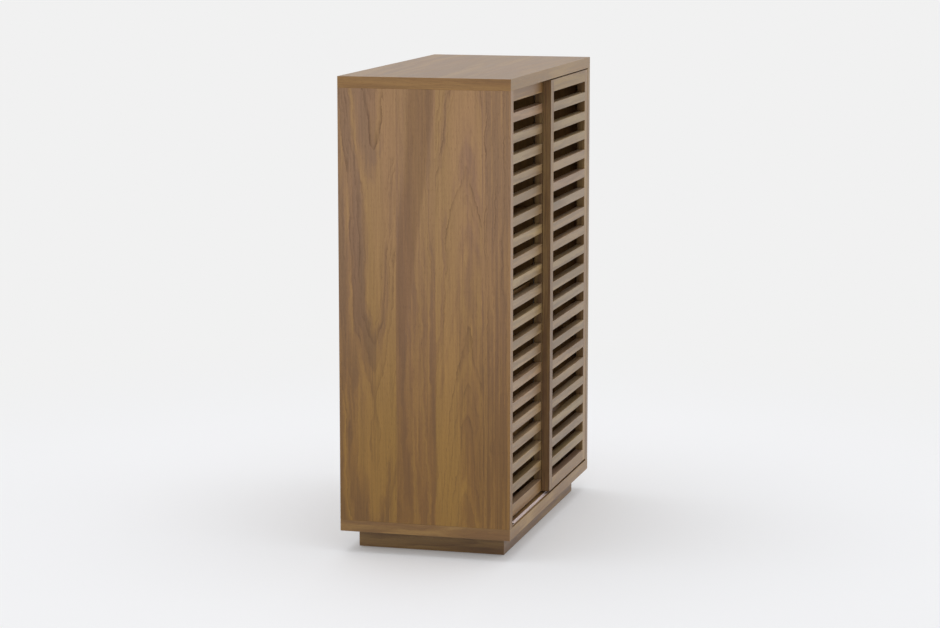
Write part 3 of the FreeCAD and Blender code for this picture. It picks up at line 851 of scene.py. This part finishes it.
def grid_faces(rows, columns):
    """Four-sided faces between the rows of a grid of points that closes on itself from column to column."""
    row, column = np.meshgrid(np.arange(rows - 1) * columns, np.arange(columns), indexing="ij")
    after = (column + 1) % columns
    corners = (row + column, row + columns + column, row + columns + after, row + after)
    return np.stack(corners, -1).reshape(-1, 4)


def new_piece(name, points, faces, material):
    """An object in the scene with one mesh and one material."""
    mesh = bpy.data.meshes.new(name)
    mesh.from_pydata(points.tolist(), [], faces)
    mesh.materials.append(material)
    piece = bpy.data.objects.new(name, mesh)
    bpy.context.scene.collection.objects.link(piece)
    return piece


def repeated(name, shape, places, body, material):
    """One piece on a body: a shape of points, four-sided and three-sided faces, once at every place."""
    points, quads, corners = shape
    copies = (np.array(places)[:, None, :] + points[None]).reshape(-1, 3)
    starts = np.arange(len(places))[:, None, None] * len(points)
    squares, triangles = (quads + starts).reshape(-1, 4), (corners + starts).reshape(-1, 3)
    piece = new_piece(name, copies, squares.tolist() + triangles.tolist(), material)
    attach(piece, body)
    return piece


def outline(y0, y1, z0, z1, radius):
    """Points (y, z) round a rectangle whose corners are quarter circles, anticlockwise seen from +X.

    The centre of corner k is one radius inside the rectangle, and the corner turns from k to k + 1 quarters.
    """
    turn = (np.arange(4)[:, None] + np.linspace(0, 1, ARRIS_STEPS)) * math.pi / 2
    y = np.array([y1 - radius, y0 + radius, y0 + radius, y1 - radius])[:, None] + radius * np.cos(turn)
    z = np.array([z1 - radius, z1 - radius, z0 + radius, z0 + radius])[:, None] + radius * np.sin(turn)
    return np.stack([y, z], -1).reshape(-1, 2)


def slats(door, material):
    """A door's slats, as deep as its frame, in place of the thinner ones of the solids.

    One slat is an outline carried along X from station to station: the end of a tongue, its shoulder, where
    the outline widens to the whole slat, the other shoulder and the other tongue's end. Two hubs close it.
    """
    low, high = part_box(door + "_slats")
    front, back = [corner[1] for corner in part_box(door + "_left_stile")]
    inset = SLAT_SHOULDER
    whole = outline(front, back, 0, SLAT_HEIGHT, SLAT_ARRIS)
    tongue = outline(low[1] + inset, high[1] - inset, inset, SLAT_HEIGHT - inset, SLAT_ARRIS)
    near, far = low[0] + SLAT_TONGUE, high[0] - SLAT_TONGUE
    stations = (
        (low[0], tongue), (near, tongue), (near, whole), (far, whole), (far, tongue), (high[0], tongue),
    )
    rings = [np.column_stack([np.full(len(ring), x), ring]) for x, ring in stations]
    points = np.vstack([*rings, [[x, *tongue.mean(0)] for x in (low[0], high[0])]])

    count, last = len(whole), (len(stations) - 1) * len(whole)
    quads = grid_faces(len(stations), count)[:, [0, 3, 2, 1]]
    side = np.arange(count)
    beside = (side + 1) % count
    hub = np.full(count, last + count)
    fans = [np.stack([hub, beside, side], -1), np.stack([hub + 1, last + side, last + beside], -1)]
    shape = (points, quads, np.vstack(fans))
    places = [(0, 0, level) for level in slat_levels(door)]
    piece = repeated(door + "_deep_slats", shape, places, door, material)
    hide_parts(door + "_slats")
    dress([door + "_slats"], material)


def screws(name, places, body, material, radius=SCREW_RADIUS, facing=1.0):
    """Screw heads at places, facing up or, turned half round about X, facing down, as one piece on a body."""
    points, quads, corners, recess = screw_head()
    shape = (points * (radius, radius * facing, radius * facing), quads, corners)
    piece = repeated(name, shape, places, body, material)
    depth = piece.data.attributes.new("recess", "FLOAT", "POINT")
    depth.data.foreach_set("value", np.tile(recess, len(places)))


def fasteners():
    """The small screws: in the tracks' webs, up into the housings and up through the plinth's blocks."""
    steel = metal("screw steel", SCREW_STEEL_TONE, roughness=0.3, order="xyz", shaded_by="recess")
    for track in TRACKS:
        low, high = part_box(track)
        middle, reach = (low[1] + high[1]) / 2, high[0] - TRACK_SCREW_INSET
        upper = "upper" in track
        level = high[2] - TRACK_WEB if upper else low[2] + TRACK_WEB
        places = [(x, middle, level) for x in np.linspace(-reach, reach, TRACK_SCREWS)]
        screws(track + "_screws", places, "carcase", steel, facing=-1.0 if upper else 1.0)
    for body in ("left_door", "right_door"):
        low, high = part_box(body + "_roller_housings")
        middle = (low[1] + high[1]) / 2
        ends = (low[0] + HOUSING_SCREW_INSET, low[0] + HOUSING_LENGTH - HOUSING_SCREW_INSET,
                high[0] - HOUSING_LENGTH + HOUSING_SCREW_INSET, high[0] - HOUSING_SCREW_INSET)
        screws(body + "_housing_screws", [(x, middle, low[2]) for x in ends], body, steel, facing=-1.0)
    low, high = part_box("plinth_corner_blocks")
    inset = BLOCK_SCREW_INSET
    sides, depths = [(low[axis] + inset, high[axis] - inset) for axis in (0, 1)]
    places = [(x, y, low[2]) for x in sides for y in depths]
    screws("plinth_block_screws", places, "carcase", steel, BLOCK_SCREW_RADIUS, -1.0)


def carcase_finishes():
    """Veneer on the boards, and solid wood on the plinth and the tongues."""
    dress(["left_end_panel"], left_end_veneer())
    veneer("right_end_panel", "yxz", width=0.108, seed=1.0, tones=calmer(WALNUT, 0.35), contrast=0.9,
           y=RIGHT_END_EDGE_PAINTED_SHEEN_SHARE)
    # The top's share along x paints light on its ends, and the bottom's paints shade on its ends
    veneer("top_panel", "yzx", width=0.1, seed=4.0, tones=calmer(WALNUT, 0.5), share=0.8, contrast=0.6,
           end_order="zxy", x=1.03, y=TOP_EDGE_PAINTED_SHEEN_SHARE)
    veneer("bottom_panel", "yzx", width=0.1, seed=5.0, tones=calmer(WALNUT, 0.2), contrast=0.4,
           end_order="zxy", x=0.95, y=BOTTOM_EDGE_PAINTED_SHEEN_SHARE, z=INSIDE_PAINTED_SHADE_SHARE)
    veneer("centre_divider", "yxz", width=0.12, seed=7.0, tones=calmer(WALNUT, 0.4), share=INSIDE_PAINTED_SHADE_SHARE)
    veneer("back_panel", "xyz", width=0.14, seed=9.0, tones=calmer(WALNUT, 0.4), share=INSIDE_PAINTED_SHADE_SHARE)
    levels = ("lower", "middle", "upper")
    shelves = [side + "_" + level + "_shelf" for side in ("left", "right") for level in levels]
    for number, name in enumerate(shelves):
        veneer(name, "yzx", width=0.11, seed=12.0 + number, tones=calmer(WALNUT, 0.3), share=SHELF_SHARE)
    # Painted shade from the overhang: the plinth's rails are darker, its ends and cross rail most
    for number, name in enumerate(("plinth_front_rail", "plinth_back_rail")):
        solid_wood(name, "zyx", seed=31.0 + number, share=0.8)
    for number, name in enumerate(("plinth_left_rail", "plinth_right_rail", "plinth_cross_rail")):
        solid_wood(name, "zxy", seed=34.0 + number, share=0.66)
    for name in ("plinth_corner_blocks", "joint_tongues"):
        solid_wood(name, "xyz", seed=18.0, tones=BIRCH, worn=False)


def door_finishes():
    """Solid wood on each door's frame and slats, and the finishes of its running gear."""
    for number, door in enumerate(("left_door", "right_door")):
        # The left stiles are darkened all over with painted shade, and their side faces more
        solid_wood(door + "_left_stile", "xyz", seed=41.0 + number, share=0.8, x=LEFT_STILE_SIDES_PAINTED_SHADE_SHARE)
        solid_wood(door + "_right_stile", "xyz", seed=43.0 + number, share=RIGHT_STILE_PAINTED_LIGHT_SHARES[number],
                   x=RIGHT_STILE_SIDES_PAINTED_SHADE_SHARE)
        slats(door, slat_wood(door, 27.0 + number, SLATS_PAINTED_SHADE_SHARES[number]))
        nylon = moulded(door + "_nylon", NYLON_TONE, roughness=0.45)
        dress([door + end for end in NYLON_PIECES], nylon)
        axle_steel = metal(door + "_axle steel", AXLE_STEEL_TONE, roughness=0.3, order="xzy")
        dress([door + "_roller_axles"], axle_steel)
    # Each rail carries its painted light or shade, and painted light and sheen on its upper and lower faces
    for number, (name, share) in enumerate(RAIL_PAINTED_LIGHT_SHARES):
        solid_wood(name, "zyx", seed=45.0 + number, tones=calmer(WALNUT, 0.4), share=share, z=RAIL_TOPS_PAINTED_LIGHT_SHARE)


def fitting_finishes():
    """Metal, rubber and plastic on the pins, tracks, stops and glides."""
    nickel = metal("nickel", NICKEL_TONE, roughness=0.28, order="yzx")
    dress(["left_shelf_pins", "right_shelf_pins"], nickel)
    aluminium = metal("anodised aluminium", ALUMINIUM_TONE, roughness=0.5, order="yzx", metallic=0.3)
    dress(TRACKS, aluminium)
    dress(["track_stops"], moulded("stop rubber", RUBBER_TONE, roughness=0.7))
    dress(["floor_glides"], moulded("glide plastic", GLIDE_TONE, roughness=0.5))


def floor_disc():
    """A flat round floor: points at radius r = R * i^2 and angle a on a grid, at height 0, with a hub."""
    shares = np.linspace(FLOOR_FIRST_RING, 1, FLOOR_RINGS) ** 2
    angles = np.linspace(0, 2 * math.pi, FLOOR_SIDES, endpoint=False)
    radius, angle = np.meshgrid(shares * FLOOR_RADIUS, angles, indexing="ij")
    points = np.stack([radius * np.cos(angle), radius * np.sin(angle), np.zeros_like(radius)], -1)
    points = np.vstack([points.reshape(-1, 3), [[0, 0, 0]]])
    side = np.arange(FLOOR_SIDES)
    hub = np.stack([side, (side + 1) % FLOOR_SIDES, np.full(FLOOR_SIDES, len(points) - 1)], -1)
    faces = grid_faces(FLOOR_RINGS, FLOOR_SIDES).tolist() + hub.tolist()
    new_piece("studio_floor", points, faces, floor_finish())


def floor_finish():
    """A matt pale floor, its shadow near the object lightened by a fifth of glow, as light as the background
    far off.
    """
    material = bpy.data.materials.new("studio floor")
    t = emptied(material)
    place = coordinates(t)
    rough = t.span(t.noise(place, *FLOOR_NOISE), *WIDE_NOISE_SPAN, *FLOOR_ROUGHNESS)
    shader = t.node("ShaderNodeBsdfPrincipled", {"Base Color": linear(FLOOR_TONE), "Roughness": rough})
    glow = t.node("ShaderNodeEmission", {"Color": linear(BACKGROUND)})
    distance = t.node("ShaderNodeVectorMath", {0: place}, operation="LENGTH").outputs["Value"]
    share = t.span(distance, *FLOOR_GLOW_SPAN, smooth=True)
    both = t.node("ShaderNodeMixShader", {0: share, 1: shader.outputs[0], 2: glow.outputs[0]})
    t.node("ShaderNodeOutputMaterial", {"Surface": both.outputs[0]})
    return material


def sky():
    """An even white surround: the background's colour where it is seen, SKY_STRENGTH where it lights."""
    world = bpy.data.worlds.new("studio")
    t = emptied(world)
    path = t.node("ShaderNodeLightPath").outputs
    seen = t.sum("MAXIMUM", path["Is Camera Ray"], path["Is Glossy Ray"])
    seen = t.sum("MAXIMUM", seen, path["Is Transmission Ray"])
    lights = t.node("ShaderNodeBackground", {"Color": (1, 1, 1, 1), "Strength": SKY_STRENGTH})
    shows = t.node("ShaderNodeBackground", {"Color": linear(BACKGROUND)})
    both = t.node("ShaderNodeMixShader", {0: seen, 1: lights.outputs[0], 2: shows.outputs[0]})
    t.node("ShaderNodeOutputWorld", {"Surface": both.outputs[0]})
    bpy.context.scene.world = world


def softbox(name, place, size, power):
    """A square area light at place, turned to LIGHT_AIM."""
    light = bpy.data.lights.new(name, "AREA")
    light.size = size
    light.energy = power
    lamp = bpy.data.objects.new(name, light)
    lamp.location = place
    direction = np.array(LIGHT_AIM) - np.array(place)
    turn = math.atan2(direction[1], direction[0])
    tilt = math.atan2(math.hypot(direction[0], direction[1]), -direction[2])
    lamp.rotation_euler = (tilt, 0, turn - math.pi / 2)
    bpy.context.scene.collection.objects.link(lamp)


def camera():
    """The camera at the photograph's place, looking down by its pitch and turned from +X by its turn."""
    lens = bpy.data.cameras.new("camera")
    lens.lens = CAMERA_LENS
    lens.sensor_width = SENSOR_WIDTH
    lens.clip_end = CAMERA_REACH
    seat = bpy.data.objects.new("camera", lens)
    seat.location = CAMERA_PLACE
    seat.rotation_euler = (math.radians(90 - CAMERA_PITCH), 0, math.radians(CAMERA_TURN - 90))
    bpy.context.scene.collection.objects.link(seat)
    bpy.context.scene.camera = seat


carcase_finishes()
door_finishes()
fitting_finishes()
fasteners()
floor_disc()
sky()
softbox("overhead softbox", OVERHEAD_PLACE, OVERHEAD_SIZE, OVERHEAD_POWER)
softbox("front softbox", FRONT_PLACE, FRONT_SIZE, FRONT_POWER)
camera()

bpy.context.scene.view_settings.view_transform = "Standard"
